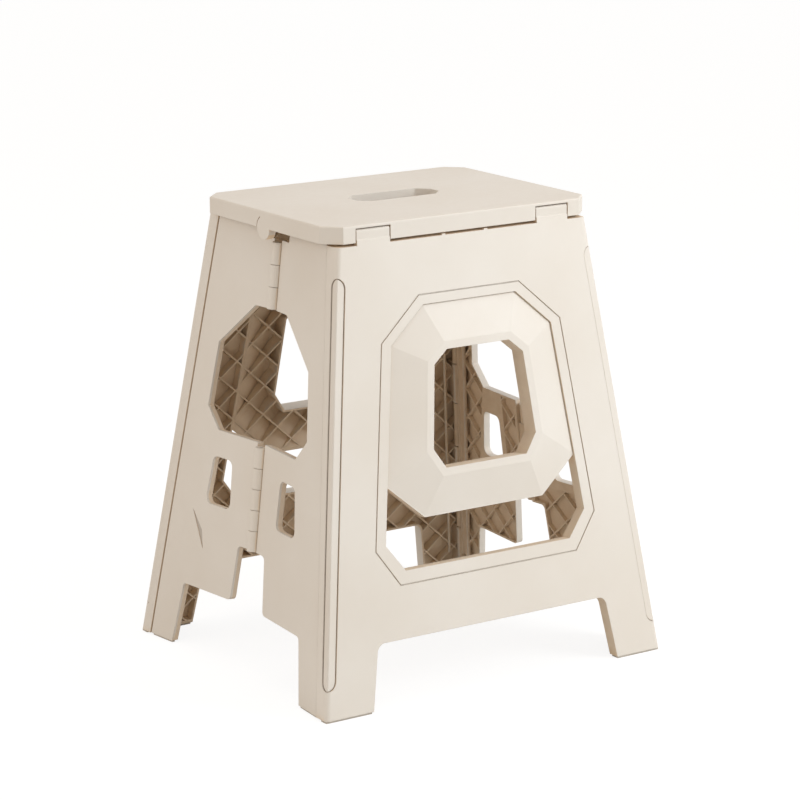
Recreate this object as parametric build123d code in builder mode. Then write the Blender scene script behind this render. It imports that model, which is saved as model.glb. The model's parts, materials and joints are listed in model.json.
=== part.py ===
"""Folding stool of moulded plastic, in millimetres, +Z up, origin on the floor under the middle of the seat.

The front leg panel faces -Y. Two leg panels stand front and rear, and on each side two half panels
hinge on the leg panels' corners and on each other, so that the sides fold inwards between the legs.
The seat hinges on two tabs of the front leg panel. A quadrant is named by the signs qx and qy.
"""
from build123d import *
import math
import os

os.makedirs("parts", exist_ok=True)

# Overall sizes: the stool's body is a four-sided frustum
stool_height = 450.0
base_width = 393.0
base_depth = 347.0
body_top_width = 280.0
body_top_depth = 225.0

# Seat
seat_side_overhang = 11.0
seat_end_overhang = 1.5
seat_corner_cut = 16.0
seat_plate = 3.0
seat_skirt_depth = 16.5
seat_wall = 2.5
seat_edge_round = 1.6
seat_rib_depth = 3.5
seat_rib_margin = 12.0
handle_length = 96.0
handle_width = 36.0
handle_set_back = 4.0
handle_corner_cut = 11.0
handle_corner_round = 3.0
handle_rim_depth = 9.0
handle_rim_wall = 2.5
ear_radius = 11.0
ear_thickness = 7.5
ear_slit_width = 0.8
ear_slit_depth = 1.6

# Panels
skin = 2.5
rim = 2.2
rib = 1.6
rib_pitch = 23.5
rib_angle = 41.0
leg_panel_depth = 12.0
side_panel_depth = 7.0
flange_depth = 18.0
flange_wall = 2.5
corner_round = 5.0
seam_gap = 1.4
side_recess = 1.0
side_prefold = 5.4

# Heights
foot_pad_thickness = 2.0
foot_pad_inset = 1.0
foot_pad_round = 1.5
side_foot_clearance = 0.3
front_panel_drop = 2.5
rear_panel_drop = 0.3
side_panel_rise = 0.5

# Corner hinges: their axes run parallel to the body's corner edges
corner_hinge_from_side = 8.0
corner_hinge_from_leg_face = 17.0
corner_barrel_radius = 4.2
corner_pin_radius = 2.0
open_pivot_clearance = 0.9
bracket_count = 5
bracket_foot_height = 32.0
bracket_top_drop = 30.0
bracket_length = 44.0
bracket_web_reach = 2.0
bracket_web_inset = 2.0
barrel_gap = 1.0

# Middle hinges of the sides: a row of knuckles is (bottom height, top height, number of knuckles)
mid_barrel_radius = 6.0
mid_pin_radius = 1.5
mid_axis_proud = 0.4
mid_edge_gap = 0.5
mid_knuckle_gap = 0.4
mid_web_depths = (0.6, 5.2)
mid_web_overlap = 1.6
upper_knuckle_bottom = 354.5
upper_knuckle_count = 3
upper_knuckle_drop = 2.5
lower_knuckles = (120.0, 221.5, 5)

# Seat hinge
tab_width = 36.5
tab_from_corner_cut = 14.5
tab_side_gap = 1.0
tab_barrel_radius = 3.5
tab_thickness = 6.0
tab_root = 4.0
tab_set_back_height = 8.0
seat_pin_radius = 1.6
seat_pin_drop = 3.8
seat_pin_set_back = 3.8
seat_lug_width = 6.0
seat_lug_depth = 8.0
seat_lug_drop = 8.5

running_clearance = 0.05
on_face = 0.01

# Outlines on the leg panels: half widths and heights
arch_half_width = 132.6
arch_height = 63.5
arch_splay = 0.173
arch_round = 9.0
groove_half = ((57.5, 379.0), (102.7, 339.0), (127.2, 149.0), (102.5, 114.0))
groove_width = 1.2
groove_depth = 0.8
window_top = (53.0, 369.8)
window_shoulder = (92.0, 336.0)
window_hip = (115.5, 152.7)
window_bottom = (95.5, 126.8)
ring_low_height = 207.8
ring_bottom = (68.0, 173.5)
ring_opening_half = ((35.6, 326.5), (51.0, 313.7), (59.0, 235.4), (46.4, 216.7))
ring_band = 7.5
ring_rise = 8.0
ring_step = 2.0
ring_wall = 2.6
ring_back_depth = 10.0
corner_recess_depth = 1.0
corner_recess_on_leg = 10.0
corner_recess_on_flange = 9.0
corner_recess_foot_height = 29.0
corner_recess_top_drop = 27.0
corner_line_width = 0.9
corner_line_depth = 0.7

# Outlines on the side halves: distances from the middle plane and heights
side_opening = ((28.0, 354.0), (81.0, 310.0), (90.0, 246.0), (70.0, 225.0))
side_opening_round = 2.0
side_slot = ((44.0, 199.0), (74.0, 199.0), (82.0, 151.0), (42.0, 151.0))
side_slot_round = 7.0
slot_surround = ((36.0, 227.0), (72.0, 227.0), (92.0, 141.0), (33.0, 141.0))
side_notch = ((24.0, 120.0), (30.0, 64.5))
side_leg_inner = 106.5
side_leg_splay = 0.19
side_arch_round = 5.0
top_notch_half_width = 21.0
top_notch_depth = 13.0
pressed_mark = ((101.0, 141.0), (84.0, 123.0), (80.0, 104.0))
pressed_mark_depth = 0.8

# Rests and stops on the panels' top edges
rest_tongue_height = 7.0
rest_tongue_thickness = 3.0
rest_tongue_set_back = 3.4
stop_rib_half_spacing = 24.0
stop_rib_width = 4.0
stop_rib_height = 1.3

# Values worked out from the sizes above
side_slope = (base_width - body_top_width) / 2 / stool_height
leg_slope = (base_depth - body_top_depth) / 2 / stool_height
lean = 1 / math.hypot(1, leg_slope)
seat_width = body_top_width + 2 * seat_side_overhang
seat_depth = body_top_depth + 2 * seat_end_overhang
skirt_bottom = stool_height - seat_skirt_depth
front_panel_top = skirt_bottom - front_panel_drop
rear_panel_top = skirt_bottom - rear_panel_drop
side_panel_top = skirt_bottom + side_panel_rise
top_notch_height = side_panel_top - top_notch_depth
upper_knuckles = (upper_knuckle_bottom, top_notch_height - upper_knuckle_drop, upper_knuckle_count)
bracket_pitch = (side_panel_top - bracket_top_drop - bracket_foot_height) / (bracket_count - 1)
bracket_heights = [bracket_foot_height + k * bracket_pitch for k in range(bracket_count)]
corner_recess_heights = (corner_recess_foot_height, front_panel_top - corner_recess_top_drop)
tab_outer_x = seat_width / 2 - seat_corner_cut - tab_from_corner_cut
tab_inner_x = tab_outer_x - tab_width
plate_bottom = stool_height - seat_plate
seat_axis_y = -seat_depth / 2 + seat_pin_set_back
seat_axis_z = plate_bottom - seat_pin_drop
below = -0.1 * stool_height
above = 1.1 * stool_height
far = 2 * stool_height


def up(height):
    """Distance along a leg panel's face from the floor to a height."""
    return height / lean


def leg_face_y(height):
    """Distance of a leg panel's outer face from the middle plane at a height."""
    return base_depth / 2 - leg_slope * height


def side_edge_y(height):
    """Distance of a side half's corner edge from the middle plane at a height."""
    return leg_face_y(height) - flange_depth / lean - seam_gap


def leg_plane(facing):
    """Outer face of the front (facing -1) or rear (+1) leg panel, local Y up the slope."""
    return Plane((0, facing * base_depth / 2, 0), (-facing, 0, 0), (0, facing, leg_slope))


def corner_axis(qx, qy):
    """Corner hinge axis of a quadrant, from the floor upwards."""
    foot_x = qx * (base_width / 2 - corner_hinge_from_side)
    foot_y = qy * (base_depth / 2 - corner_hinge_from_leg_face)
    return Axis((foot_x, foot_y, 0), (-qx * side_slope, -qy * leg_slope, 1))


def corner_plane(qx, qy, height):
    """Plane square to a corner hinge, local X into the stool."""
    axis = corner_axis(qx, qy)
    place = axis.position + axis.direction * (height / axis.direction.Z)
    return Plane(place, (-qx, 0, 0), axis.direction)


def corner_length(qx, qy, low, high):
    """Length along a corner hinge between two heights."""
    return (high - low) / corner_axis(qx, qy).direction.Z


def side_plane(qx, qy, proud=0.0):
    """Outer face of a side half, its origin where it meets the floor and the middle plane.

    The half is turned inwards from the body's side about its corner hinge by the prefold.
    """
    axis = corner_axis(qx, qy)
    flat = Vector(qx, 0, side_slope).normalized()
    normal = flat.rotate(Axis((0, 0, 0), axis.direction), -qx * qy * side_prefold)
    reach = normal.dot(axis.position) + corner_hinge_from_side - side_recess + proud
    return Plane((reach / normal.X, 0, 0), (-normal.Y, normal.X, 0), normal)


def side_points(qx, qy, points):
    """Places on a side half's face, given as (distance from the middle plane, height)."""
    plane = side_plane(qx, qy)
    placed = []
    for reach, height in points:
        v = height / plane.y_dir.Z
        u = (qy * reach - v * plane.y_dir.Y) / plane.x_dir.Y
        placed.append((u, v))
    return placed


def mid_plane(qx, height):
    """Plane square to a side's middle hinge, local X towards the rear."""
    plane = side_plane(qx, -1, mid_axis_proud)
    direction = Vector(-plane.z_dir.Z / plane.z_dir.X, 0, 1)
    return Plane(plane.origin + direction * height, (0, 1, 0), direction)


def mid_length(qx, low, high):
    """Length along a side's middle hinge between two heights."""
    return (mid_plane(qx, high).origin - mid_plane(qx, low).origin).length


def outline(points, grow=0.0, rounding=0.0):
    """Closed straight-sided face, grown by a margin, with rounded corners."""
    with BuildSketch() as sketch:
        Polygon(*points)
        if grow:
            offset(amount=grow, kind=Kind.INTERSECTION)
        if rounding:
            fillet(sketch.vertices(), rounding)
    return sketch.sketch


def leg_points(half):
    """Leg panel outline from its right half, given as (half width, height) from the top down."""
    right = [(x, up(z)) for x, z in half]
    return right + [(-x, v) for x, v in reversed(right)]


def diamond_cells(region, holes, reach):
    """Pockets between crossing ribs, inside a region and outside some holes."""
    count = int(reach / rib_pitch)
    with BuildSketch() as cells:
        add(region)
        for hole in holes:
            add(hole, mode=Mode.SUBTRACT)
        for turn in (rib_angle, -rib_angle):
            step = Vector(0, rib_pitch, 0).rotate(Axis.Z, turn)
            places = [Location(step * k, (0, 0, turn)) for k in range(-count, count + 1)]
            with Locations(*places):
                Rectangle(2 * reach, rib, mode=Mode.SUBTRACT)
    return cells.sketch


def tab_profile():
    """Side view of a seat tab, from the front panel's top edge up to the hinge, as (y, z)."""
    root_z = front_panel_top - tab_root
    bend_z = seat_axis_z - tab_barrel_radius - tab_set_back_height + tab_root
    front_y = seat_axis_y - tab_barrel_radius
    return [
        (-leg_face_y(root_z), root_z),
        (-leg_face_y(root_z) + tab_thickness, root_z),
        (seat_axis_y + tab_barrel_radius, seat_axis_z),
        (front_y, seat_axis_z),
        (front_y, bend_z + tab_root / 4),
        (-leg_face_y(bend_z), bend_z),
    ]


def ring_pockets(face, ring, opening):
    """Pockets between the ribs behind the ring: deep at its flat band, fading out at its border."""
    region = outline(ring, grow=-rim)
    cells = diamond_cells(region, (outline(opening, grow=rim),), up(above) + base_width / 2)
    with BuildPart() as pockets:
        with BuildSketch(face.offset(ring_rise)):
            add(cells)
        extrude(amount=-far)
        with BuildSketch(face.offset(-ring_back_depth)):
            add(region)
        with BuildSketch(face.offset(ring_rise - ring_wall)):
            add(outline(opening, grow=ring_band))
        loft(ruled=True, mode=Mode.INTERSECT)
    return pockets.part


def leg_panel(facing):
    """Front or rear leg panel: a ribbed tray with corner flanges, window, raised ring and hinge brackets."""
    face = leg_plane(facing)
    top = front_panel_top if facing < 0 else rear_panel_top

    def half_width(height):
        return base_width / 2 - side_slope * height

    body = leg_points(((half_width(above), above), (half_width(below), below)))
    arch_foot = arch_half_width + arch_splay * (arch_height - below)
    arch = leg_points(((arch_half_width, arch_height), (arch_foot, below)))
    window_run = (window_hip[0] - window_shoulder[0]) / (window_shoulder[1] - window_hip[1])
    ring_side = (window_shoulder[0] + (window_shoulder[1] - ring_low_height) * window_run, ring_low_height)
    window = leg_points((window_top, window_shoulder, window_hip, window_bottom))
    ring = leg_points((window_top, window_shoulder, ring_side, ring_bottom))
    opening = leg_points(ring_opening_half)
    tray_top = (half_width(top - rim), top - rim)
    tray_foot = (half_width(foot_pad_thickness + rim), foot_pad_thickness + rim)
    tray = outline(leg_points((tray_top, tray_foot)), grow=-flange_wall)
    holes = (outline(arch, grow=rim, rounding=arch_round + rim), outline(window, grow=rim))
    cells = diamond_cells(tray, holes, up(above) + base_width / 2)
    pockets = ring_pockets(face, ring, opening)

    with BuildPart() as panel:
        with BuildSketch(face):
            add(outline(body))
        extrude(amount=-flange_depth)
        with BuildSketch(face.offset(-leg_panel_depth)):
            add(outline(body, grow=-flange_wall))
        extrude(amount=-far, mode=Mode.SUBTRACT)
        long_edges = panel.edges().filter_by(lambda edge: edge.length > stool_height)
        corners = long_edges.filter_by(lambda edge: abs(face.to_local_coords(edge @ 0.5).Z) < on_face)
        fillet(corners, corner_round)

        # Shallow recess along each corner, rounded at both ends, with a fine line round it
        for side in (-1, 1):
            low, high = (Vector(side * half_width(z), up(z), 0) for z in corner_recess_heights)
            foot = face.from_local_coords(low)
            head = face.from_local_coords(high)
            along = (head - foot).normalized()
            flange = Plane(foot, along, along.cross(face.z_dir) * side)
            length = (head - foot).length
            for plane, reach in ((Plane(foot, along, face.z_dir), corner_recess_on_leg),
                                 (flange, corner_recess_on_flange)):
                with BuildSketch(plane):
                    SlotCenterPoint((length / 2, 0), (reach, 0), 2 * reach)
                extrude(amount=-corner_recess_depth, mode=Mode.SUBTRACT)
                with BuildSketch(plane):
                    SlotCenterPoint((length / 2, 0), (reach, 0), 2 * reach)
                    SlotCenterPoint((length / 2, 0), (reach, 0), 2 * (reach - corner_line_width),
                                    mode=Mode.SUBTRACT)
                extrude(amount=-corner_recess_depth - corner_line_depth, mode=Mode.SUBTRACT)

        # Arch between the feet, window and groove
        with BuildSketch(face):
            add(outline(arch, rounding=arch_round))
            add(outline(window))
        extrude(amount=-far, mode=Mode.SUBTRACT)
        with BuildSketch(face):
            add(outline(leg_points(groove_half), grow=groove_width / 2))
            add(outline(leg_points(groove_half), grow=-groove_width / 2), mode=Mode.SUBTRACT)
        extrude(amount=-groove_depth, mode=Mode.SUBTRACT)

        # Level ends at the feet and at the top
        split(bisect_by=Plane.XY.offset(foot_pad_thickness), keep=Keep.TOP)
        split(bisect_by=Plane.XY.offset(top), keep=Keep.BOTTOM)

        # Top edge: hinge tabs and stop ribs on the front panel, rest tongues on the rear one
        for side in (-1, 1):
            middle = side * (tab_inner_x + tab_outer_x) / 2
            if facing < 0:
                with BuildSketch(Plane((middle, 0, 0), (0, 1, 0), (1, 0, 0))):
                    Polygon(*tab_profile())
                    with Locations((seat_axis_y, seat_axis_z)):
                        Circle(tab_barrel_radius)
                        Circle(seat_pin_radius + running_clearance, mode=Mode.SUBTRACT)
                extrude(amount=(tab_outer_x - tab_inner_x) / 2, both=True)
                with Locations((side * stop_rib_half_spacing, skin / 2 - leg_face_y(top), top)):
                    Box(stop_rib_width, skin, 2 * stop_rib_height)
            else:
                tongue_y = leg_face_y(top) - rest_tongue_set_back - rest_tongue_thickness / 2
                with Locations((middle, tongue_y, top)):
                    Box(tab_outer_x - tab_inner_x, rest_tongue_thickness, 2 * rest_tongue_height)

        # Raised ring: sloping facets and a flat band round the opening, with ribbed pockets behind
        with BuildSketch(face.offset(-ring_step)):
            add(outline(ring, grow=rim / 2))
        extrude(amount=ring_step - ring_back_depth)
        with BuildSketch(face.offset(-ring_step)):
            add(outline(ring))
        with BuildSketch(face.offset(ring_rise)):
            add(outline(opening, grow=ring_band))
        loft(ruled=True)
        add(pockets, mode=Mode.SUBTRACT)
        with BuildSketch(face.offset(2 * ring_rise)):
            add(outline(opening))
        extrude(amount=-far, mode=Mode.SUBTRACT)

        # Tray pockets between the ribs
        with BuildSketch(face.offset(-skin)):
            add(cells)
        extrude(amount=-leg_panel_depth, mode=Mode.SUBTRACT)

        # Brackets that hold the corner pins
        for qx in (-1, 1):
            web_y = qx * facing * (bracket_web_inset - corner_hinge_from_leg_face)
            web_x = bracket_web_inset - corner_hinge_from_side
            with BuildSketch(*[corner_plane(qx, facing, height) for height in bracket_heights]):
                Circle(corner_barrel_radius)
                Polygon((web_x, 0), (bracket_web_reach, 0), (bracket_web_reach, web_y), (web_x, web_y))
                Circle(corner_pin_radius + running_clearance, mode=Mode.SUBTRACT)
            extrude(amount=bracket_length / 2, both=True)
    return panel


def side_half(qx, qy, first_knuckle, pin_clearance):
    """Half of a folding side: a ribbed tray with corner barrels and every second middle knuckle."""
    face = side_plane(qx, qy)
    foot = foot_pad_thickness + side_foot_clearance
    edge = mid_barrel_radius + mid_edge_gap
    across = -edge

    def placed(*points):
        return side_points(qx, qy, points)

    body = placed((edge, below), (edge, above), (side_edge_y(above), above), (side_edge_y(below), below))
    tray_low, tray_high = foot + rim, side_panel_top - rim
    tray = placed(
        (edge + 2 * rim, tray_low), (edge + 2 * rim, tray_high),
        (side_edge_y(tray_high) - rim, tray_high), (side_edge_y(tray_low) - rim, tray_low),
    )
    leg_foot = side_leg_inner + side_leg_splay * (side_notch[1][1] - below)
    arch = placed((across, side_notch[0][1]), *side_notch, (side_leg_inner, side_notch[1][1]),
                  (leg_foot, below), (across, below))
    opening = placed((across, side_opening[0][1]), *side_opening, (across, side_opening[-1][1]))
    slot = placed(*side_slot)
    notch = placed((across, top_notch_height), (top_notch_half_width, top_notch_height),
                   (top_notch_half_width, above), (across, above))
    cuts = (
        outline(arch, rounding=side_arch_round), outline(opening, rounding=side_opening_round),
        outline(slot, rounding=side_slot_round), outline(notch),
    )
    holes = (
        outline(arch, grow=rim), outline(opening, grow=rim),
        outline(placed(*slot_surround)), outline(notch, grow=rim),
    )
    cells = diamond_cells(outline(tray), holes, up(above) + base_depth / 2)

    with BuildPart() as half:
        with BuildSketch(face):
            add(outline(body))
        extrude(amount=-side_panel_depth)
        with BuildSketch(face):
            for cut in cuts:
                add(cut)
        extrude(amount=-far, mode=Mode.SUBTRACT)
        split(bisect_by=Plane.XY.offset(foot), keep=Keep.TOP)
        split(bisect_by=Plane.XY.offset(side_panel_top), keep=Keep.BOTTOM)

        # Small pressed mark on the rear halves
        if qy > 0:
            with BuildSketch(face):
                add(outline(placed(*pressed_mark)))
            extrude(amount=-pressed_mark_depth, mode=Mode.SUBTRACT)

        # Corner barrels between the leg panel's brackets, with room round each bracket
        spans = list(zip(bracket_heights, bracket_heights[1:]))
        shortest = min(corner_length(qx, qy, low, high) for low, high in spans)
        with BuildSketch(*[corner_plane(qx, qy, (low + high) / 2) for low, high in spans]):
            Circle(corner_barrel_radius)
        extrude(amount=(shortest - bracket_length) / 2 - barrel_gap, both=True)
        with BuildSketch(*[corner_plane(qx, qy, height) for height in bracket_heights]):
            Circle(corner_barrel_radius + barrel_gap)
        extrude(amount=bracket_length / 2 + barrel_gap, both=True, mode=Mode.SUBTRACT)
        with BuildSketch(corner_plane(qx, qy, stool_height / 2)):
            Circle(corner_pin_radius + pin_clearance)
        extrude(amount=far, both=True, mode=Mode.SUBTRACT)

        # Middle knuckles, each with a web to the half's edge
        web_x = qy * (edge + mid_web_overlap)
        web_low, web_high = (qx * depth for depth in mid_web_depths)
        for low, high, count in (upper_knuckles, lower_knuckles):
            pitch = (high - low) / count
            centres = [low + (k + 0.5) * pitch for k in range(first_knuckle, count, 2)]
            with BuildSketch(*[mid_plane(qx, height) for height in centres]):
                Circle(mid_barrel_radius)
                Polygon((0, web_low), (web_x, web_low), (web_x, web_high), (0, web_high))
            extrude(amount=(mid_length(qx, low, low + pitch) - mid_knuckle_gap) / 2, both=True)
        with BuildSketch(mid_plane(qx, stool_height / 2)):
            Circle(mid_pin_radius + running_clearance)
        extrude(amount=far, both=True, mode=Mode.SUBTRACT)

        # Tray pockets between the ribs
        with BuildSketch(face.offset(-skin)):
            add(cells)
        extrude(amount=-side_panel_depth, mode=Mode.SUBTRACT)
    return half


def corner_pin(qx, qy):
    """Pin through the brackets and barrels of one corner."""
    low, high = bracket_heights[0], bracket_heights[-1]
    length = corner_length(qx, qy, low, high) + bracket_length
    with BuildPart() as pin:
        with BuildSketch(corner_plane(qx, qy, (low + high) / 2)):
            Circle(corner_pin_radius)
        extrude(amount=length / 2, both=True)
    return pin


def mid_pin(qx, row):
    """Pin through one row of middle knuckles."""
    low, high = row[:2]
    with BuildPart() as pin:
        with BuildSketch(mid_plane(qx, (low + high) / 2)):
            Circle(mid_pin_radius)
        extrude(amount=(mid_length(qx, low, high) - mid_knuckle_gap) / 2, both=True)
    return pin


def leg_foot_pad(qx, qy):
    """Non-slip pad under one foot of a leg panel."""
    outer_x = base_width / 2 - side_slope * foot_pad_thickness - foot_pad_inset
    inner_x = arch_half_width + arch_splay * (arch_height - foot_pad_thickness) + foot_pad_inset
    outer_y = leg_face_y(foot_pad_thickness) - foot_pad_inset
    inner_y = leg_face_y(foot_pad_thickness) - leg_panel_depth + foot_pad_inset
    corners = [(qx * x, qy * y) for x, y in
               ((inner_x, inner_y), (outer_x, inner_y), (outer_x, outer_y), (inner_x, outer_y))]
    with BuildPart() as pad:
        with BuildSketch():
            add(outline(corners, rounding=foot_pad_round))
        extrude(amount=foot_pad_thickness)
    return pad


def side_foot_pad(qx, qy):
    """Non-slip pad under the foot of a side half, held just clear of the floor."""
    plane = side_plane(qx, qy)
    height = side_foot_clearance + foot_pad_thickness
    inner = side_leg_inner + side_leg_splay * (side_notch[1][1] - height) + foot_pad_inset
    outer = side_edge_y(height) - foot_pad_inset
    near, far_side = side_points(qx, qy, ((inner, height), (outer, height)))
    depths = (foot_pad_inset, side_panel_depth - 2 * foot_pad_inset)
    places = [(near, depths[0]), (far_side, depths[0]), (far_side, depths[1]), (near, depths[1])]
    corners = [plane.from_local_coords(Vector(u, v, -depth)) for (u, v), depth in places]
    with BuildPart() as pad:
        with BuildSketch(Plane.XY.offset(side_foot_clearance)):
            add(outline([(corner.X, corner.Y) for corner in corners], rounding=foot_pad_round))
        extrude(amount=foot_pad_thickness)
    return pad


def seat():
    """Seat: a plate with a deep skirt, hand slot, ribs below, hinge lugs and two side ears."""
    cut_half = (seat_width / 2, seat_depth / 2)
    corners = [
        (cut_half[0] - seat_corner_cut, -cut_half[1]), (cut_half[0], -cut_half[1] + seat_corner_cut),
        (cut_half[0], cut_half[1] - seat_corner_cut), (cut_half[0] - seat_corner_cut, cut_half[1]),
    ]
    corners += [(-x, y) for x, y in reversed(corners)]
    grip_x = handle_length / 2
    grip_near, grip_far = handle_set_back - handle_width / 2, handle_set_back + handle_width / 2
    grip = [
        (grip_x - handle_corner_cut, grip_near), (grip_x, grip_near + handle_corner_cut),
        (grip_x, grip_far - handle_corner_cut), (grip_x - handle_corner_cut, grip_far),
    ]
    grip += [(-x, y) for x, y in reversed(grip)]
    hinge_room_y = seat_axis_y + seat_lug_depth
    rib_bottom = plate_bottom - seat_rib_depth
    region = outline(corners, grow=-seat_rib_margin)
    cells = diamond_cells(region, (outline(grip, grow=handle_rim_wall),), seat_width)

    with BuildPart() as top:
        with BuildSketch(Plane.XY.offset(skirt_bottom)):
            add(outline(corners))
        extrude(amount=seat_skirt_depth)
        fillet(top.faces().sort_by(Axis.Z)[-1].edges(), seat_edge_round)
        with BuildSketch(Plane.XY.offset(skirt_bottom)):
            add(outline(corners, grow=-seat_wall))
        extrude(amount=rib_bottom - skirt_bottom, mode=Mode.SUBTRACT)
        with BuildSketch(Plane.XY.offset(rib_bottom)):
            add(cells)
        extrude(amount=seat_rib_depth, mode=Mode.SUBTRACT)

        # Room for the hinge along the front edge, and gaps in the front skirt for the tabs
        room_front = -seat_depth / 2 + seat_wall
        with Locations((0, (room_front + hinge_room_y) / 2, (rib_bottom + plate_bottom) / 2)):
            Box(2 * (tab_outer_x + seat_lug_width), hinge_room_y - room_front, seat_rib_depth,
                mode=Mode.SUBTRACT)
        gap_width = tab_outer_x - tab_inner_x + 2 * tab_side_gap
        for side in (-1, 1):
            middle = side * (tab_inner_x + tab_outer_x) / 2
            with Locations((middle, -seat_depth / 2, (skirt_bottom + plate_bottom) / 2)):
                Box(gap_width, 2 * seat_wall, plate_bottom - skirt_bottom, mode=Mode.SUBTRACT)
            lug_y = -seat_depth / 2 + seat_lug_depth / 2
            for end in (-1, 1):
                lug_x = middle + end * (gap_width + seat_lug_width) / 2
                with Locations((lug_x, lug_y, plate_bottom - seat_lug_drop / 2)):
                    Box(seat_lug_width, seat_lug_depth, seat_lug_drop)
            with Locations(Location((middle, seat_axis_y, seat_axis_z), (0, 90, 0))):
                Cylinder(seat_pin_radius + running_clearance, gap_width + 4 * seat_lug_width,
                         mode=Mode.SUBTRACT)

        # Hand slot with a rim below it
        with BuildSketch(Plane.XY.offset(plate_bottom - handle_rim_depth)):
            add(outline(grip, grow=handle_rim_wall, rounding=handle_corner_round))
        extrude(amount=handle_rim_depth)
        with BuildSketch(Plane.XY.offset(skirt_bottom)):
            add(outline(grip, rounding=handle_corner_round))
        extrude(amount=seat_skirt_depth, mode=Mode.SUBTRACT)

        # Round ears hanging from the side skirts, each with a slit along its rear shoulder
        for side in (-1, 1):
            outer = Plane((side * seat_width / 2, 0, skirt_bottom), (0, 1, 0), (side, 0, 0))
            with BuildSketch(outer):
                Circle(ear_radius)
            extrude(amount=-ear_thickness)
            with BuildSketch(outer):
                Circle(ear_radius + ear_slit_width)
                Circle(ear_radius, mode=Mode.SUBTRACT)
                with Locations((ear_radius, side * ear_radius)):
                    Rectangle(ear_radius, 2 * ear_radius, mode=Mode.INTERSECT)
            extrude(amount=-ear_slit_depth, mode=Mode.SUBTRACT)
    return top


def seat_pin(side):
    """Pin of the seat hinge, through one tab and the seat's two lugs beside it."""
    length = tab_outer_x - tab_inner_x + 2 * tab_side_gap + 2 * seat_lug_width
    middle = side * (tab_inner_x + tab_outer_x) / 2
    with BuildPart() as pin:
        with BuildSketch(Plane((middle, seat_axis_y, seat_axis_z), (0, 1, 0), (1, 0, 0))):
            Circle(seat_pin_radius)
        extrude(amount=length / 2, both=True)
    return pin


pieces = {
    "seat_top": seat(),
    "front_leg_panel": leg_panel(-1),
    "rear_leg_panel": leg_panel(1),
}
for side_name, qx in (("left", -1), ("right", 1)):
    pieces[f"{side_name}_seat_hinge_pin"] = seat_pin(qx)
    pieces[f"{side_name}_upper_middle_pin"] = mid_pin(qx, upper_knuckles)
    pieces[f"{side_name}_lower_middle_pin"] = mid_pin(qx, lower_knuckles)
    for end_name, qy in (("front", -1), ("rear", 1)):
        corner = f"{end_name}_{side_name}"
        loose = open_pivot_clearance if (qx, qy) == (1, 1) else running_clearance
        first = 0 if qy < 0 else 1
        pieces[f"{side_name}_{end_name}_side_panel"] = side_half(qx, qy, first, loose)
        pieces[f"{corner}_corner_pin"] = corner_pin(qx, qy)
        pieces[f"{corner}_foot_pad"] = leg_foot_pad(qx, qy)
        pieces[f"{side_name}_{end_name}_side_foot_pad"] = side_foot_pad(qx, qy)

for name, piece in pieces.items():
    piece.part.label = name
    export_step(piece.part, f"parts/{name}.step")
    print(f"{name}: {len(piece.part.solids())} solid, {piece.part.volume / 1000:.1f} cm3")
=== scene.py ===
# %% [markdown]
# # A folding stool in moulded plastic
# The CAD model gives every panel, pin and pad its true shape and place. This lesson dresses that model:
# it adds the small moulded details, gives each surface a finish, and sets up a plain studio.

# %% Load the frame
import json
import math
import bmesh
import bpy
from mathutils import Matrix, Vector


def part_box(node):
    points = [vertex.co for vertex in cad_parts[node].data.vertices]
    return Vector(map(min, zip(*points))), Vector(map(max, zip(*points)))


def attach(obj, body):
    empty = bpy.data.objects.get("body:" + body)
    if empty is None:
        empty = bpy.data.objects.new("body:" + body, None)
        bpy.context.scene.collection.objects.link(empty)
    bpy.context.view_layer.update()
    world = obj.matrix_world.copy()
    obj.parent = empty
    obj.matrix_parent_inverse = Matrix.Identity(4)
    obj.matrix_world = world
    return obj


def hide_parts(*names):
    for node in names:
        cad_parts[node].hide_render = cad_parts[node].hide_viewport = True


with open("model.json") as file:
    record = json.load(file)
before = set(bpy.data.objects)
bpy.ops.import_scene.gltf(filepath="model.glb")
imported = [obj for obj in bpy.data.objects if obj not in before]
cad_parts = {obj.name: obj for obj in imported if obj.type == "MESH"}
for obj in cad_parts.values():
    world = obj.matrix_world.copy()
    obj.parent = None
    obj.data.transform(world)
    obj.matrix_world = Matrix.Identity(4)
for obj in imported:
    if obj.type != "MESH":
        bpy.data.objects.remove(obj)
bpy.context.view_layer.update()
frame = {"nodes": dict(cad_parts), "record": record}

nodes = frame["nodes"]
behaviour = frame["record"]["behaviour"]
joints = {joint["name"]: joint for joint in behaviour["joints"]}
body_of = {node: body for body, members in behaviour["bodies"].items() for node in members}

# %% [markdown]
# ## Where the outer faces are
# Every panel has a smooth outer face and a ribbed back. To tell the two apart in a material, we need the
# planes of the outer faces. They could be typed in, but the corner hinges run parallel to the corners of
# the body, so one hinge's axis gives the slopes of the front and the sides. The side panels also stand a
# few degrees folded in at rest.

# %% Planes of the outer faces
ends = {"front": -1, "rear": 1}
sides = {"left": -1, "right": 1}
corners = [(end_name, side_name, qx, qy)
           for end_name, qy in ends.items() for side_name, qx in sides.items()]
hinge_from_side = 0.008
hinge_from_front = 0.017
side_recess = 0.001
side_prefold = math.radians(5.4)

corner = joints["side_fold"]
corner_foot = Vector(corner["pos_m"])
corner_up = -Vector(corner["axis"])
side_slope = corner_up.x / corner_up.z
front_slope = corner_up.y / corner_up.z


def corner_line(qx, qy):
    """Foot and direction of a corner hinge, left (-1) or right (+1) and front (-1) or rear (+1)."""
    foot = Vector((qx * abs(corner_foot.x), qy * abs(corner_foot.y), 0))
    return foot, Vector((-qx * side_slope, -qy * front_slope, 1)).normalized()


def leg_face(qy):
    """Outward normal of the front (-1) or rear (+1) leg panel, and its distance from the origin."""
    normal = Vector((0, qy, front_slope)).normalized()
    return normal, normal.dot(Vector((0, qy * (abs(corner_foot.y) + hinge_from_front), 0)))


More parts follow.
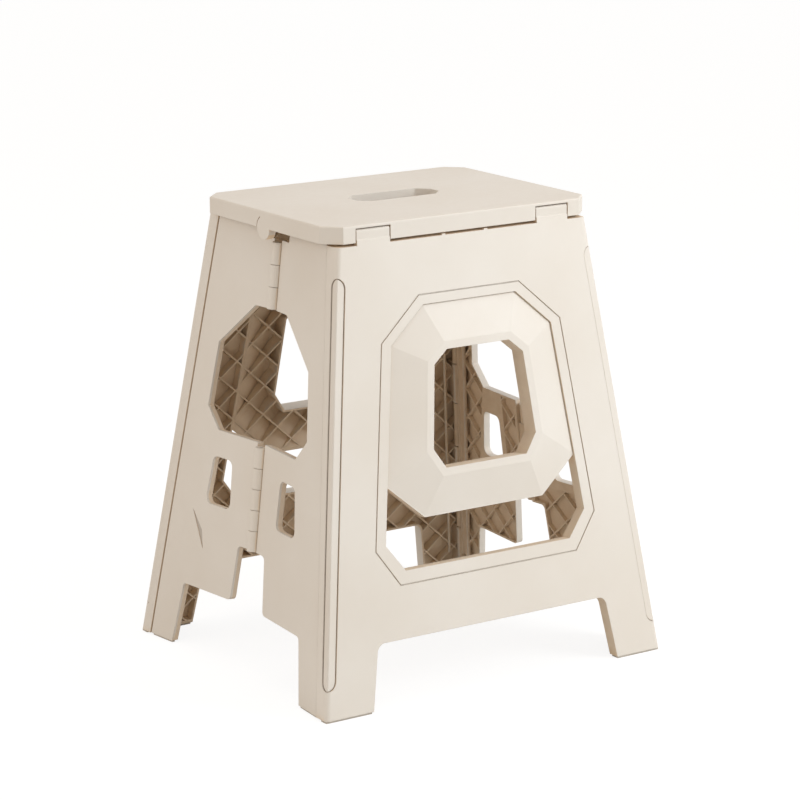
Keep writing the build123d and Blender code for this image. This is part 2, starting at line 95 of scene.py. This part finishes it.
def flange_face(qx):
    """Outward normal of the leg panels' flanges on the left (-1) or right (+1), and its distance."""
    normal = Vector((qx, 0, side_slope)).normalized()
    return normal, normal.dot(Vector((qx * (abs(corner_foot.x) + hinge_from_side), 0, 0)))


def side_face(qx, qy):
    """Outward normal of one side half, turned inwards about its corner hinge, and its distance."""
    foot, up = corner_line(qx, qy)
    normal = Matrix.Rotation(-qx * qy * side_prefold, 3, up) @ Vector((qx, 0, side_slope)).normalized()
    return normal, normal.dot(foot) + hinge_from_side - side_recess


print("slopes of front and side:", round(front_slope, 4), round(side_slope, 4))

# %% [markdown]
# ## Small helpers for node materials
# A material is a graph of nodes. It could be wired by hand in the shader editor. In a script, these helpers
# add a node, set its values and link its inputs in one line, so that each finish below reads as a short
# recipe.

# %% Node helpers
def new_material(name):
    """New material, with its node tree and its shader."""
    material = bpy.data.materials.new(name)
    material.use_nodes = True
    return material, material.node_tree, material.node_tree.nodes["Principled BSDF"]


def set_inputs(tree, node, sources):
    """Links each input to an output of another node, or gives it a plain value."""
    for socket, source in sources.items():
        if hasattr(source, "is_output"):
            tree.links.new(source, node.inputs[socket])
        else:
            node.inputs[socket].default_value = source


def add_node(tree, kind, sources=None, **settings):
    """New node with its settings and its inputs."""
    node = tree.nodes.new(kind)
    for key, value in settings.items():
        setattr(node, key, value)
    set_inputs(tree, node, sources or {})
    return node


def calculate(tree, operation, first, second=0.0):
    return add_node(tree, "ShaderNodeMath", {0: first, 1: second}, operation=operation).outputs[0]


def dot_product(tree, first, second):
    node = add_node(tree, "ShaderNodeVectorMath", {0: first, 1: second}, operation="DOT_PRODUCT")
    return node.outputs["Value"]


def remap(tree, value, low, high, to_low=0.0, to_high=1.0):
    sources = {"Value": value, "From Min": low, "From Max": high, "To Min": to_low, "To Max": to_high}
    return add_node(tree, "ShaderNodeMapRange", sources).outputs["Result"]


def noise(tree, place, scale, detail, roughness=0.5):
    sources = {"Vector": place, "Scale": scale, "Detail": detail, "Roughness": roughness}
    return add_node(tree, "ShaderNodeTexNoise", sources).outputs["Fac"]


def mix_colour(tree, factor, first, second):
    """Mixes two colours. Inputs 6 and 7 of this node are the colours, and output 2 is their mix."""
    return add_node(tree, "ShaderNodeMix", {0: factor, 6: first, 7: second}, data_type="RGBA").outputs[2]


print("node helpers ready")

# %% [markdown]
# ## Outside, back and pressed marks
# On the real stool, each moulding has a fine outside and a plain ribbed back. The two could be painted by
# hand, but then every change of shape would need new painting, so masks find them. Depth behind the outer
# face and the direction of the surface tell the outside from the back, and ambient occlusion finds the
# pockets between the ribs and the sheltered walls, where shade is painted. The masks use Object
# coordinates, so they stay with a panel as it folds.

# %% Masks of a moulded panel
# Each pair is the value where a mask begins and the value where it is full
skin_depth = (0.0022, 0.0026)
pressed_depth = 0.0008
pressed_slack = (0.0003, 0.0002)
pressed_facing = (0.8, 0.9)
wall_facing = (0.3, 0.2)
back_facing = (-0.45, -0.55)
pocket_reach = 0.014
pocket_light = (0.86, 0.7)
wall_light = (0.72, 0.58)
flange_reach = (0.020, 0.022)
light_samples = 6


def depth_behind(tree, place, face):
    """How far a point lies behind an outer face."""
    normal, distance = face
    return calculate(tree, "SUBTRACT", distance, dot_product(tree, place, normal))


def facing_out(tree, coordinates, face):
    """1 where a surface faces straight out, 0 on walls, -1 on backs."""
    return dot_product(tree, coordinates.outputs["Normal"], face[0])


def open_light(tree, reach):
    """1 where a surface lies open, less where walls within reach shelter it."""
    occlusion = add_node(tree, "ShaderNodeAmbientOcclusion", {"Distance": reach}, samples=light_samples)
    return occlusion.outputs["AO"]


def pressed_mask(tree, coordinates, face):
    """1 on the floor of a mark that is pressed into an outer face, 0 elsewhere."""
    depth = depth_behind(tree, coordinates.outputs["Object"], face)
    off_floor = calculate(tree, "ABSOLUTE", calculate(tree, "SUBTRACT", depth, pressed_depth))
    level = remap(tree, facing_out(tree, coordinates, face), *pressed_facing)
    return calculate(tree, "MULTIPLY", remap(tree, off_floor, *pressed_slack), level)


def back_and_shade_mask(tree, coordinates, faces, wall_shade):
    """Where shade is painted: 1 on a panel's ribbed back and in its pockets, the given share on the walls of
    its openings, 0 outside.
    """
    place = coordinates.outputs["Object"]
    from_flange = flange_reach[1]
    for face in faces[1:]:
        from_flange = calculate(tree, "MINIMUM", from_flange, depth_behind(tree, place, face))
    depth = calculate(tree, "MINIMUM", depth_behind(tree, place, faces[0]), from_flange)
    light = open_light(tree, pocket_reach)
    sheltered = remap(tree, light, *pocket_light, wall_shade)
    pocket = calculate(tree, "MULTIPLY", remap(tree, depth, *skin_depth), sheltered)
    hidden = remap(tree, light, *wall_light)
    if len(faces) > 1:
        past_flange = remap(tree, from_flange, *flange_reach, 0.0, wall_shade)
        hidden = calculate(tree, "MAXIMUM", hidden, past_flange)
    facing = facing_out(tree, coordinates, faces[0])
    hidden_wall = calculate(tree, "MULTIPLY", remap(tree, facing, *wall_facing), hidden)
    pocket = calculate(tree, "MAXIMUM", pocket, hidden_wall)
    return calculate(tree, "MAXIMUM", pocket, remap(tree, facing, *back_facing))


print("masks ready")

# %% [markdown]
# ## Tones, painted highlights and painted shade
# The stool is injection moulded in ivory polypropylene. Its ribbed backs, their pockets and the walls in
# shade are painted a warmer, darker tan as shade. One colour would look like a drawing, and a painted
# texture would need a UV map on every panel. So noise lets the tone drift, edges are painted paler as a
# highlight, and grooves, seams and pressed marks are painted darker as shade.

# %% Colour of the plastic
ivory = (0.80, 0.755, 0.69, 1)
ivory_warm = (0.765, 0.71, 0.635, 1)
# Painted shade: the tan that backs, pockets and shaded walls take in place of the ivory in shade
shade_tan = (0.83, 0.68, 0.51, 1)
shade_tan_deep = (0.75, 0.59, 0.42, 1)
# Painted highlight along the edges
highlight_ivory = (0.90, 0.87, 0.82, 1)
edge_turn = (0.985, 0.85)
highlight_span = (0.2, 1.0)
edge_highlight_share = (0.35, 0.8)
back_highlight_share = 0.35
# Painted shade in grooves, seams and pressed marks
crevice_shade_colour = (0.15, 0.11, 0.08, 1)
crevice_reach = 0.003
crevice_light = (0.68, 0.32)
crevice_shade_share = 0.9
back_crevice_shade = 0.3


def toned(tree, drift, mottle, back_and_shade):
    """Ivory outside, and on the back a tan of painted shade, each with its own drift of tone."""
    outside = mix_colour(tree, drift, ivory, ivory_warm)
    inside = mix_colour(tree, mottle, shade_tan, shade_tan_deep)
    return mix_colour(tree, back_and_shade, outside, inside)


def highlighted_edges(tree, colour, rounded, mottle, back_and_shade):
    """Painted highlight: paler edges, where the rounded normal turns away from the flat one."""
    flat = add_node(tree, "ShaderNodeNewGeometry").outputs["True Normal"]
    edge = remap(tree, dot_product(tree, rounded, flat), *edge_turn)
    edge_highlight = calculate(tree, "MULTIPLY", edge, remap(tree, mottle, *highlight_span, *edge_highlight_share))
    edge_highlight = calculate(tree, "MULTIPLY", edge_highlight, remap(tree, back_and_shade, 0.0, 1.0, 1.0, back_highlight_share))
    return mix_colour(tree, edge_highlight, colour, highlight_ivory)


def shaded_crevices(tree, colour, mark, back_and_shade):
    """Painted shade: darker in grooves, seams and pressed marks, and less of it on the back."""
    crevice_shade = remap(tree, open_light(tree, crevice_reach), *crevice_light, 0.0, crevice_shade_share)
    crevice_shade = calculate(tree, "MULTIPLY", crevice_shade, remap(tree, back_and_shade, 0.0, 1.0, 1.0, back_crevice_shade))
    return mix_colour(tree, calculate(tree, "MAXIMUM", crevice_shade, mark), colour, crevice_shade_colour)


print("plastic colours ready")

# %% [markdown]
# ## Moulded plastic on the panels
# Outside, the plastic has a fine matt grain with a soft sheen, and the backs are left rougher. The grain is
# too fine to model, so it is a bump. It lies on the normal of a Bevel node, which rounds the panels' sharp
# edges without new faces. The walls of the openings in the front and left panels are painted in the darker
# tan of the backs as shade; in the far panels they stay pale, as in the photograph.

# %% Moulded plastic finish
drift_noise = (7.0, 4.0)
drift_span = (0.35, 0.65)
mottle_noise = (55.0, 5.0, 0.6)
mottle_span = (0.3, 0.7)
edge_radius = 0.0007
edge_samples = 4
grain_noise = (2600.0, 2.0, 0.6)
grain_share = 0.25
ripple_noise = (26.0, 2.0)
bump_strength = 0.12
bump_height = 0.0006
sheen_noise = (140.0, 4.0)
sheen_span = (0.3, 0.7)
sheen_roughness = (0.44, 0.56)
back_roughness = 0.14
plastic_specular = 0.42
pressed_shade = 0.38
# Share of painted shade on the walls of openings: much on the front and left panels, little on the far ones
near_wall_shade = 0.75
far_wall_shade = 0.05


def grained(tree, place, rounded):
    """Normal of the surface, with its fine grain and a faint ripple."""
    grain = calculate(tree, "MULTIPLY", noise(tree, place, *grain_noise), grain_share)
    height = calculate(tree, "ADD", grain, noise(tree, place, *ripple_noise))
    sources = {"Height": height, "Normal": rounded, "Strength": bump_strength, "Distance": bump_height}
    return add_node(tree, "ShaderNodeBump", sources).outputs["Normal"]


def moulded_plastic(name, faces, wall_shade, mark_shade=0.0):
    material, tree, shader = new_material(name)
    coordinates = add_node(tree, "ShaderNodeTexCoord")
    place = coordinates.outputs["Object"]
    bevel = add_node(tree, "ShaderNodeBevel", {"Radius": edge_radius}, samples=edge_samples)
    rounded = bevel.outputs["Normal"]
    back_and_shade = back_and_shade_mask(tree, coordinates, faces, wall_shade)
    drift = remap(tree, noise(tree, place, *drift_noise), *drift_span)
    mottle = remap(tree, noise(tree, place, *mottle_noise), *mottle_span)
    mark = 0.0
    if mark_shade:
        mark = calculate(tree, "MULTIPLY", pressed_mask(tree, coordinates, faces[0]), mark_shade)
    # Painted shade on the backs, a painted highlight on the edges and painted shade in the crevices
    colour = highlighted_edges(tree, toned(tree, drift, mottle, back_and_shade), rounded, mottle, back_and_shade)
    sheen = remap(tree, noise(tree, place, *sheen_noise), *sheen_span, *sheen_roughness)
    set_inputs(tree, shader, {
        "Base Color": shaded_crevices(tree, colour, mark, back_and_shade),
        "Roughness": calculate(tree, "ADD", sheen, calculate(tree, "MULTIPLY", back_and_shade, back_roughness)),
        "Specular IOR Level": plastic_specular,
        "Normal": grained(tree, place, rounded),
    })
    return material


def dress(name, material):
    """Gives a CAD node one finish all over."""
    mesh = nodes[name].data
    mesh.materials.clear()
    mesh.materials.append(material)


for end_name, qy in ends.items():
    faces = (leg_face(qy), flange_face(-1), flange_face(1))
    wall_shade = near_wall_shade if end_name == "front" else far_wall_shade
    dress(f"{end_name}_leg_panel", moulded_plastic(f"{end_name}_leg_plastic", faces, wall_shade))
for end_name, side_name, qx, qy in corners:
    faces = (side_face(qx, qy),)
    wall_shade = near_wall_shade if side_name == "left" else far_wall_shade
    finish = moulded_plastic(f"{side_name}_{end_name}_side_plastic", faces, wall_shade, pressed_shade)
    dress(f"{side_name}_{end_name}_side_panel", finish)
print("panels dressed:", len(ends) + len(corners))

# %% [markdown]
# ## The seat
# The seat is one moulding with a top, a skirt and ribs below, in the same plastic as the panels. It could
# have a finish of its own, but only its underside counts as a back, so the same recipe gets one level plane,
# just under the top, read from the seat's own height.

# %% Seat finish
seat_low, seat_high = (Vector(end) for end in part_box("seat_top"))
seat_skin = 0.0045
underside = (Vector((0, 0, 1)), seat_high.z - seat_skin)
dress("seat_top", moulded_plastic("seat_plastic", (underside,), wall_shade=0.0))
print("seat size:", [round(v, 4) for v in seat_high - seat_low])

# %% [markdown]
# ## Steel pins
# The hinge pins are drawn steel wire. Drawing leaves fine lines along the wire, which are too fine to cut.
# A noise that is stretched along Z gives such streaks, in both tone and roughness.

# %% Steel finish
steel_grey = (0.42, 0.41, 0.39, 1)
steel_bright = (0.66, 0.65, 0.63, 1)
streak_scale = (900, 900, 25)
streak_noise = (1.0, 4.0, 0.65)
streak_span = (0.2, 0.8)
steel_roughness = (0.25, 0.42)


def drawn_steel():
    material, tree, shader = new_material("pin_steel")
    place = add_node(tree, "ShaderNodeTexCoord").outputs["Object"]
    stretched = add_node(tree, "ShaderNodeMapping", {"Vector": place, "Scale": streak_scale}).outputs[0]
    streak = noise(tree, stretched, *streak_noise)
    set_inputs(tree, shader, {
        "Base Color": mix_colour(tree, streak, steel_grey, steel_bright),
        "Roughness": remap(tree, streak, *streak_span, *steel_roughness),
        "Metallic": 1.0,
    })
    return material


steel = drawn_steel()
pin_names = [name for name in nodes if name.endswith("_pin")]
for name in pin_names:
    dress(name, steel)
print("steel pins:", len(pin_names))

# %% [markdown]
# ## Rubber feet
# Each foot stands on a thin pad of soft rubber, a shade darker than the plastic, dull and slightly pitted,
# with scuffs from the floor. The scuffs are noise in the tone and the roughness. The pits are about a
# millimetre wide and very shallow, so a bump from a cell pattern is enough for them.

# %% Rubber finish
rubber_pale = (0.60, 0.55, 0.48, 1)
rubber_scuffed = (0.46, 0.41, 0.35, 1)
scuff_noise = (90.0, 5.0, 0.7)
scuff_span = (0.4, 0.7)
pit_scale = 900.0
pit_strength = 0.25
pit_depth = 0.0004
rubber_roughness = (0.7, 0.88)


def foot_rubber():
    material, tree, shader = new_material("foot_rubber")
    place = add_node(tree, "ShaderNodeTexCoord").outputs["Object"]
    scuff = remap(tree, noise(tree, place, *scuff_noise), *scuff_span)
    pits = add_node(tree, "ShaderNodeTexVoronoi", {"Vector": place, "Scale": pit_scale}).outputs["Distance"]
    pitted = {"Height": pits, "Strength": pit_strength, "Distance": pit_depth}
    set_inputs(tree, shader, {
        "Base Color": mix_colour(tree, scuff, rubber_pale, rubber_scuffed),
        "Roughness": remap(tree, scuff, 0.0, 1.0, *rubber_roughness),
        "Normal": add_node(tree, "ShaderNodeBump", pitted).outputs["Normal"],
    })
    return material


rubber = foot_rubber()
pad_names = [name for name in nodes if name.endswith("_pad")]
for name in pad_names:
    dress(name, rubber)
print("rubber pads:", len(pad_names))

# %% [markdown]
# ## Helpers for modelling
# The new pieces are modelled as by hand: start from a primitive of the right size, go into edit mode, select
# faces or edges, and bevel, inset, cut or extrude them. In code, the selecting is done by place and
# direction. A finished piece can then be copied, each copy with a mesh of its own and its place kept in
# that mesh.

# %% Modelling helpers
squarely = 0.9
smooth_angle = math.radians(40)


def start_block(size, place):
    """Block of a size about a place, opened in edit mode."""
    bpy.ops.object.select_all(action="DESELECT")
    bpy.ops.mesh.primitive_cube_add(size=1, location=place)
    block = bpy.context.object
    block.scale = size
    bpy.ops.object.transform_apply(location=True, rotation=True, scale=True)
    bpy.ops.object.mode_set(mode="EDIT")
    return block


def pick(piece, kind, test):
    """Selects the faces or edges that pass a test, in a piece that is in edit mode."""
    bpy.ops.mesh.select_mode(type=kind)
    bpy.ops.mesh.select_all(action="DESELECT")
    shape = bmesh.from_edit_mesh(piece.data)
    for element in shape.faces if kind == "FACE" else shape.edges:
        if test(element):
            element.select_set(True)
    bmesh.update_edit_mesh(piece.data)


def rise(edge):
    """Height between the two ends of an edge."""
    return abs(edge.verts[0].co.z - edge.verts[1].co.z)


def cut_at(x):
    """Cuts all of the piece in edit mode, square to X."""
    bpy.ops.mesh.select_all(action="SELECT")
    bpy.ops.mesh.bisect(plane_co=(x, 0, 0), plane_no=(1, 0, 0))


def draw_out(step):
    """Extrudes the selected faces by a step."""
    bpy.ops.mesh.extrude_region_move(TRANSFORM_OT_translate={"value": step})


def leave_smooth():
    """Leaves edit mode and shades all but the sharp edges smooth."""
    bpy.ops.object.mode_set(mode="OBJECT")
    bpy.ops.object.shade_smooth_by_angle(angle=smooth_angle)


def copy_to(piece, name, matrix):
    """Copies a piece, puts the copy in place and bakes that place into its mesh."""
    bpy.ops.object.select_all(action="DESELECT")
    piece.select_set(True)
    bpy.context.view_layer.objects.active = piece
    bpy.ops.object.duplicate(linked=False)
    copy = bpy.context.object
    copy.name = name
    copy.matrix_world = matrix
    bpy.ops.object.transform_apply(location=True, rotation=True, scale=True)
    return copy


print("modelling helpers ready")

# %% [markdown]
# ## Foot pads with a tread
# Each pad is pressed from rubber, with rounded corners and grooves across its underside that let water out.
# One pad starts as a block of the right size. Its edges are bevelled, cuts mark out the grooves, and the
# strips between two cuts are pushed up into the block. A bump could give the grooves too, but a modelled
# tread shows its true shape at the rim. The leg panels have one size of pad and the side panels a narrower
# one that is turned with its panel.

# %% Foot pads
pad_round = 0.0012
pad_edge = 0.0003
tread_pitch = 0.004
tread_width = 0.0016
tread_depth = 0.0008


def foot_pad(length, width, height):
    """Rubber pad with its length along X, standing on the origin."""
    pad = start_block((length, width, height), (0, 0, height / 2))
    pick(pad, "EDGE", lambda edge: rise(edge) > height / 2)
    bpy.ops.mesh.bevel(offset=pad_round, segments=4)
    pick(pad, "FACE", lambda face: abs(face.normal.z) > squarely)
    bpy.ops.mesh.bevel(offset=pad_edge, segments=2)
    count = int((length / 2 - pad_round - tread_width) / tread_pitch)
    for k in range(-count, count + 1):
        for side in (-1, 1):
            cut_at(k * tread_pitch + side * tread_width / 2)

    def in_groove(face):
        x = face.calc_center_median().x
        nearest = round(x / tread_pitch)
        inside = abs(x - nearest * tread_pitch) < tread_width / 2
        return face.normal.z < -squarely and abs(nearest) <= count and inside

    pick(pad, "FACE", in_groove)
    draw_out((0, 0, tread_depth))
    leave_smooth()
    pad.data.materials.append(rubber)
    return pad


def pad_size(node, turn):
    """Length, width and height of a pad that is turned about Z, from its box."""
    low, high = (Vector(end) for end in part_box(node))
    reach = high - low
    c, s = abs(math.cos(turn)), abs(math.sin(turn))
    length = (c * reach.x - s * reach.y) / (c * c - s * s)
    width = (c * reach.y - s * reach.x) / (c * c - s * s)
    return length, width, reach.z


def pad_turn(node):
    """Angle about Z of a pad: none under the leg panels, along the panel under a side half."""
    if "side" not in node:
        return 0.0
    normal, _ = side_face(-1 if "left" in node else 1, -1 if "front" in node else 1)
    return math.atan2(normal.x, -normal.y)


for under_side in (False, True):
    names = [name for name in pad_names if ("side" in name) is under_side]
    pattern = foot_pad(*pad_size(names[0], pad_turn(names[0])))
    for name in names:
        low, high = (Vector(end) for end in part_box(name))
        place = Matrix.Translation(((low.x + high.x) / 2, (low.y + high.y) / 2, low.z))
        piece = copy_to(pattern, f"{name}_tread", place @ Matrix.Rotation(pad_turn(name), 4, "Z"))
        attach(piece, body_of[name])
        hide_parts(name)
    print(len(names), "pads of", len(pattern.data.polygons), "faces")
    bpy.data.objects.remove(pattern)

# %% [markdown]
# ## Collars on the corner hinges
# Inside each corner, the leg panel's long knuckles end in a small collar that keeps the next knuckle at a
# distance. A collar starts as a short cylinder. Its ends are inset, the middles are deleted and bridged into
# a bore, and the rims are bevelled. All collars are alike, so one is copied along the four hinges. Each
# corner's collars move together, so they are joined.

# %% Hinge collars
knuckle_count = 5
knuckle_length = 0.044
collar_bore = 0.0040
collar_radius = 0.0047
collar_length = 0.0024
collar_edge = 0.0004
collar_inset = 0.0006


def hinge_collar():
    """Collar about Z, with its middle on the origin."""
    bpy.ops.object.select_all(action="DESELECT")
    bpy.ops.mesh.primitive_cylinder_add(vertices=40, radius=collar_radius, depth=collar_length)
    collar = bpy.context.object
    bpy.ops.object.mode_set(mode="EDIT")
    pick(collar, "FACE", lambda face: abs(face.normal.z) > squarely)
    bpy.ops.mesh.inset(thickness=collar_radius - collar_bore)
    bpy.ops.mesh.delete(type="FACE")
    pick(collar, "EDGE", lambda edge: edge.is_boundary)
    bpy.ops.mesh.bridge_edge_loops()
    mid_wall = (collar_bore + collar_radius) / 2

    def on_rim(edge):
        outside = all(vert.co.xy.length > mid_wall for vert in edge.verts)
        return outside and rise(edge) < collar_length / 2

    pick(collar, "EDGE", on_rim)
    bpy.ops.mesh.bevel(offset=collar_edge, segments=2)
    bpy.ops.mesh.select_all(action="SELECT")
    bpy.ops.mesh.normals_make_consistent(inside=False)
    leave_smooth()
    return collar


pattern = hinge_collar()
collar_reach = knuckle_length / 2 - collar_length / 2 - collar_inset
for end_name, side_name, qx, qy in corners:
    foot, up = corner_line(qx, qy)
    low, high = (Vector(end).z / up.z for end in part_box(f"{end_name}_{side_name}_corner_pin"))
    pitch = (high - low - knuckle_length) / (knuckle_count - 1)
    centres = [low + knuckle_length / 2 + k * pitch for k in range(knuckle_count)]
    places = [centre + end * collar_reach for centre in centres for end in (-1, 1)]
    turn = up.to_track_quat("Z", "Y").to_matrix().to_4x4()
    name = f"{end_name}_{side_name}_hinge_collars"
    copies = [copy_to(pattern, name, Matrix.Translation(foot + up * place) @ turn) for place in places]
    for copy in copies:
        copy.select_set(True)
    bpy.ops.object.join()
    collars = bpy.context.object
    collars.name = name
    collars.data.materials.append(nodes[f"{end_name}_leg_panel"].data.materials[0])
    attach(collars, f"{end_name}_frame")
    print(name, len(collars.data.polygons), "faces")
bpy.data.objects.remove(pattern)

# %% [markdown]
# ## Strips beside the corner hinges
# Inside each corner, plain upright lines run beside the knuckles: a shallow channel on the side panel and a
# thin rail on the leg panel, which dips into the channel when the stool is folded. Both stiffen the hinge.
# A bump would show no edge from the side, so they are modelled. The channel starts as a flat bar. Two cuts
# mark out its edges, the edges are extruded into ridges, and all the sharp corners are bevelled. The rail
# is a narrow bar whose top is inset and drawn up to a narrower crest.

# %% Hinge channels and rails
strip_low = 0.022
strip_high = 0.412
strip_sunk = 0.0005
strip_edge = 0.0003
sharp_angle = math.radians(60)
channel_width = 0.013
channel_floor = 0.0015
channel_ridge_width = 0.002
channel_ridge_height = 0.002
channel_from_hinge = 0.0125
rail_width = 0.0022
rail_height = 0.0024
rail_inset = rail_width / 8
rail_from_hinge = 0.0125
leg_depth = 0.012


def flat_bar(width, thickness, length):
    """Bar along Z with its back a little behind the XZ plane and its front towards +Y, in edit mode."""
    return start_block((width, thickness + strip_sunk, length), (0, (thickness - strip_sunk) / 2, 0))


def finish_bar(bar):
    """Bevels the sharp edges of a bar and leaves edit mode."""
    pick(bar, "EDGE", lambda edge: edge.calc_face_angle(0) > sharp_angle)
    bpy.ops.mesh.bevel(offset=strip_edge, segments=2)
    leave_smooth()
    return bar


def hinge_channel(length):
    bar = flat_bar(channel_width, channel_floor, length)
    ridge_x = channel_width / 2 - channel_ridge_width
    for side in (-1, 1):
        cut_at(side * ridge_x)
    pick(bar, "FACE", lambda face: face.normal.y > squarely and abs(face.calc_center_median().x) > ridge_x)
    draw_out((0, channel_ridge_height, 0))
    return finish_bar(bar)


def hinge_rail(length):
    bar = flat_bar(rail_width, rail_height / 2, length)
    pick(bar, "FACE", lambda face: face.normal.y > squarely)
    bpy.ops.mesh.inset(thickness=rail_inset)
    draw_out((0, rail_height / 2, 0))
    return finish_bar(bar)


def beside_hinge(qx, qy, inward, from_hinge, depth=0.0):
    """Place of a strip: up along a corner hinge, facing inward, some way towards the middle of its panel."""
    foot, up = corner_line(qx, qy)
    across = inward.cross(up)
    if across.dot(Vector((-qx, -qy, 0))) < 0:
        from_hinge = -from_hinge
    place = foot + up * (strip_low + strip_high) / 2 / up.z + across * from_hinge + inward * depth
    return Matrix.Translation(place) @ Matrix((across, inward, up)).transposed().to_4x4()


strip_length = strip_high - strip_low
channel, rail = hinge_channel(strip_length), hinge_rail(strip_length)
for end_name, side_name, qx, qy in corners:
    on_side = beside_hinge(qx, qy, -side_face(qx, qy)[0], channel_from_hinge)
    on_leg = beside_hinge(qx, qy, -leg_face(qy)[0], rail_from_hinge, leg_depth - hinge_from_front)
    side_body, leg_body = f"{side_name}_{end_name}", f"{end_name}_frame"
    for pattern, name, place, body, node in (
            (channel, f"{side_body}_hinge_channel", on_side, side_body, f"{side_body}_side_panel"),
            (rail, f"{end_name}_{side_name}_hinge_rail", on_leg, leg_body, f"{end_name}_leg_panel")):
        piece = copy_to(pattern, name, place)
        piece.data.materials.append(nodes[node].data.materials[0])
        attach(piece, body)
        print(name, len(piece.data.polygons), "faces")
bpy.data.objects.remove(channel)
bpy.data.objects.remove(rail)

# %% [markdown]
# ## Floor and world
# The floor and the world are plain and pale. A white floor alone would throw much light up on to the stool.
# Here both show as near white to the camera, while the light that they give the stool stays moderate, so
# that the ribbed backs keep their depth.

# %% Floor and world
white = (1, 1, 1, 1)
floor_size = 14
floor_colour = (0.8, 0.79, 0.77, 1)
floor_roughness = 0.9
floor_glow = 1.17
floor_glow_share = 0.75
warm_ambient = (1, 0.95, 0.89, 1)
ambient_strength = 0.54
seen_strength = 1.0


def pale_floor():
    """Matt floor that also glows, but only to the camera."""
    material, tree, shader = new_material("pale_floor")
    set_inputs(tree, shader, {"Base Color": floor_colour, "Roughness": floor_roughness})
    seen = add_node(tree, "ShaderNodeLightPath").outputs["Is Camera Ray"]
    glow = add_node(tree, "ShaderNodeEmission", {"Color": white, "Strength": floor_glow})
    share = calculate(tree, "MULTIPLY", seen, floor_glow_share)
    mix = add_node(tree, "ShaderNodeMixShader", {0: share, 1: shader.outputs[0], 2: glow.outputs[0]})
    set_inputs(tree, tree.nodes["Material Output"], {"Surface": mix.outputs[0]})
    return material


bpy.ops.object.select_all(action="DESELECT")
bpy.ops.mesh.primitive_plane_add(size=floor_size, location=(0, 0, 0))
floor = bpy.context.object
floor.name = "studio_floor"
floor.data.materials.append(pale_floor())

scene = bpy.context.scene
scene.world = scene.world or bpy.data.worlds.new("studio_world")
scene.world.use_nodes = True
sky = scene.world.node_tree
path = add_node(sky, "ShaderNodeLightPath")
seen = calculate(sky, "MAXIMUM", path.outputs["Is Camera Ray"], path.outputs["Is Glossy Ray"])
seen = calculate(sky, "MAXIMUM", seen, path.outputs["Is Transmission Ray"])
set_inputs(sky, sky.nodes["Background"], {
    "Color": mix_colour(sky, seen, warm_ambient, white),
    "Strength": remap(sky, seen, 0.0, 1.0, ambient_strength, seen_strength),
})
scene.view_settings.view_transform = "Standard"
print("studio floor and world ready")

# %% [markdown]
# ## Lamps
# Three lamps light the stool: a cool key from the front right, a warm fill from the left and a weak warm
# lamp above the seat. Point lamps would cast hard shadows, so these are wide area lamps, which cast soft
# ones.

# %% Lamps
stool_middle = Vector((0, 0, 0.23))


def aim(place, target):
    """Turn of a lamp or a camera that stands at a place and looks at a target."""
    return (target - place).to_track_quat("-Z", "Y")


def soft_lamp(name, place, size, power, colour):
    bpy.ops.object.light_add(type="AREA", location=place)
    lamp = bpy.context.object
    lamp.name = name
    lamp.data.size = size
    lamp.data.energy = power
    lamp.data.color = colour
    lamp.rotation_euler = aim(Vector(place), stool_middle).to_euler()
    print(name, power, "watts")


soft_lamp("key_lamp", place=(1.2, -1.45, 1.15), size=1.0, power=23.0, colour=(0.90, 0.95, 1))
soft_lamp("fill_lamp", place=(-2.4, 0.3, 1.1), size=1.6, power=12.0, colour=(1, 0.87, 0.77))
soft_lamp("top_lamp", place=(0.0, -0.4, 2.3), size=1.4, power=6.5, colour=(1, 0.84, 0.69))

# %% [markdown]
# ## Camera
# The camera stands where the photograph was taken: about 34 degrees round to the left of the front and
# 14 degrees up, with a long lens that keeps the lines nearly parallel. It looks at the middle of the stool
# and is rolled by a fifth of a degree.

# %% Camera
camera_place = Vector((-1.6533, -2.45821, 0.96205))
camera_target = Vector((0.00372, 0, 0.24586))
camera_roll = math.radians(-0.1945)
lens_length = 139.73
sensor_width = 36.0

camera_data = bpy.data.cameras.new("stool_camera")
camera_data.lens = lens_length
camera_data.sensor_width = sensor_width
camera = bpy.data.objects.new("stool_camera", camera_data)
scene.collection.objects.link(camera)
turn = aim(camera_place, camera_target).to_matrix() @ Matrix.Rotation(camera_roll, 3, "Z")
camera.matrix_world = Matrix.Translation(camera_place) @ turn.to_4x4()
scene.camera = camera
print("camera at", [round(v, 3) for v in camera_place])
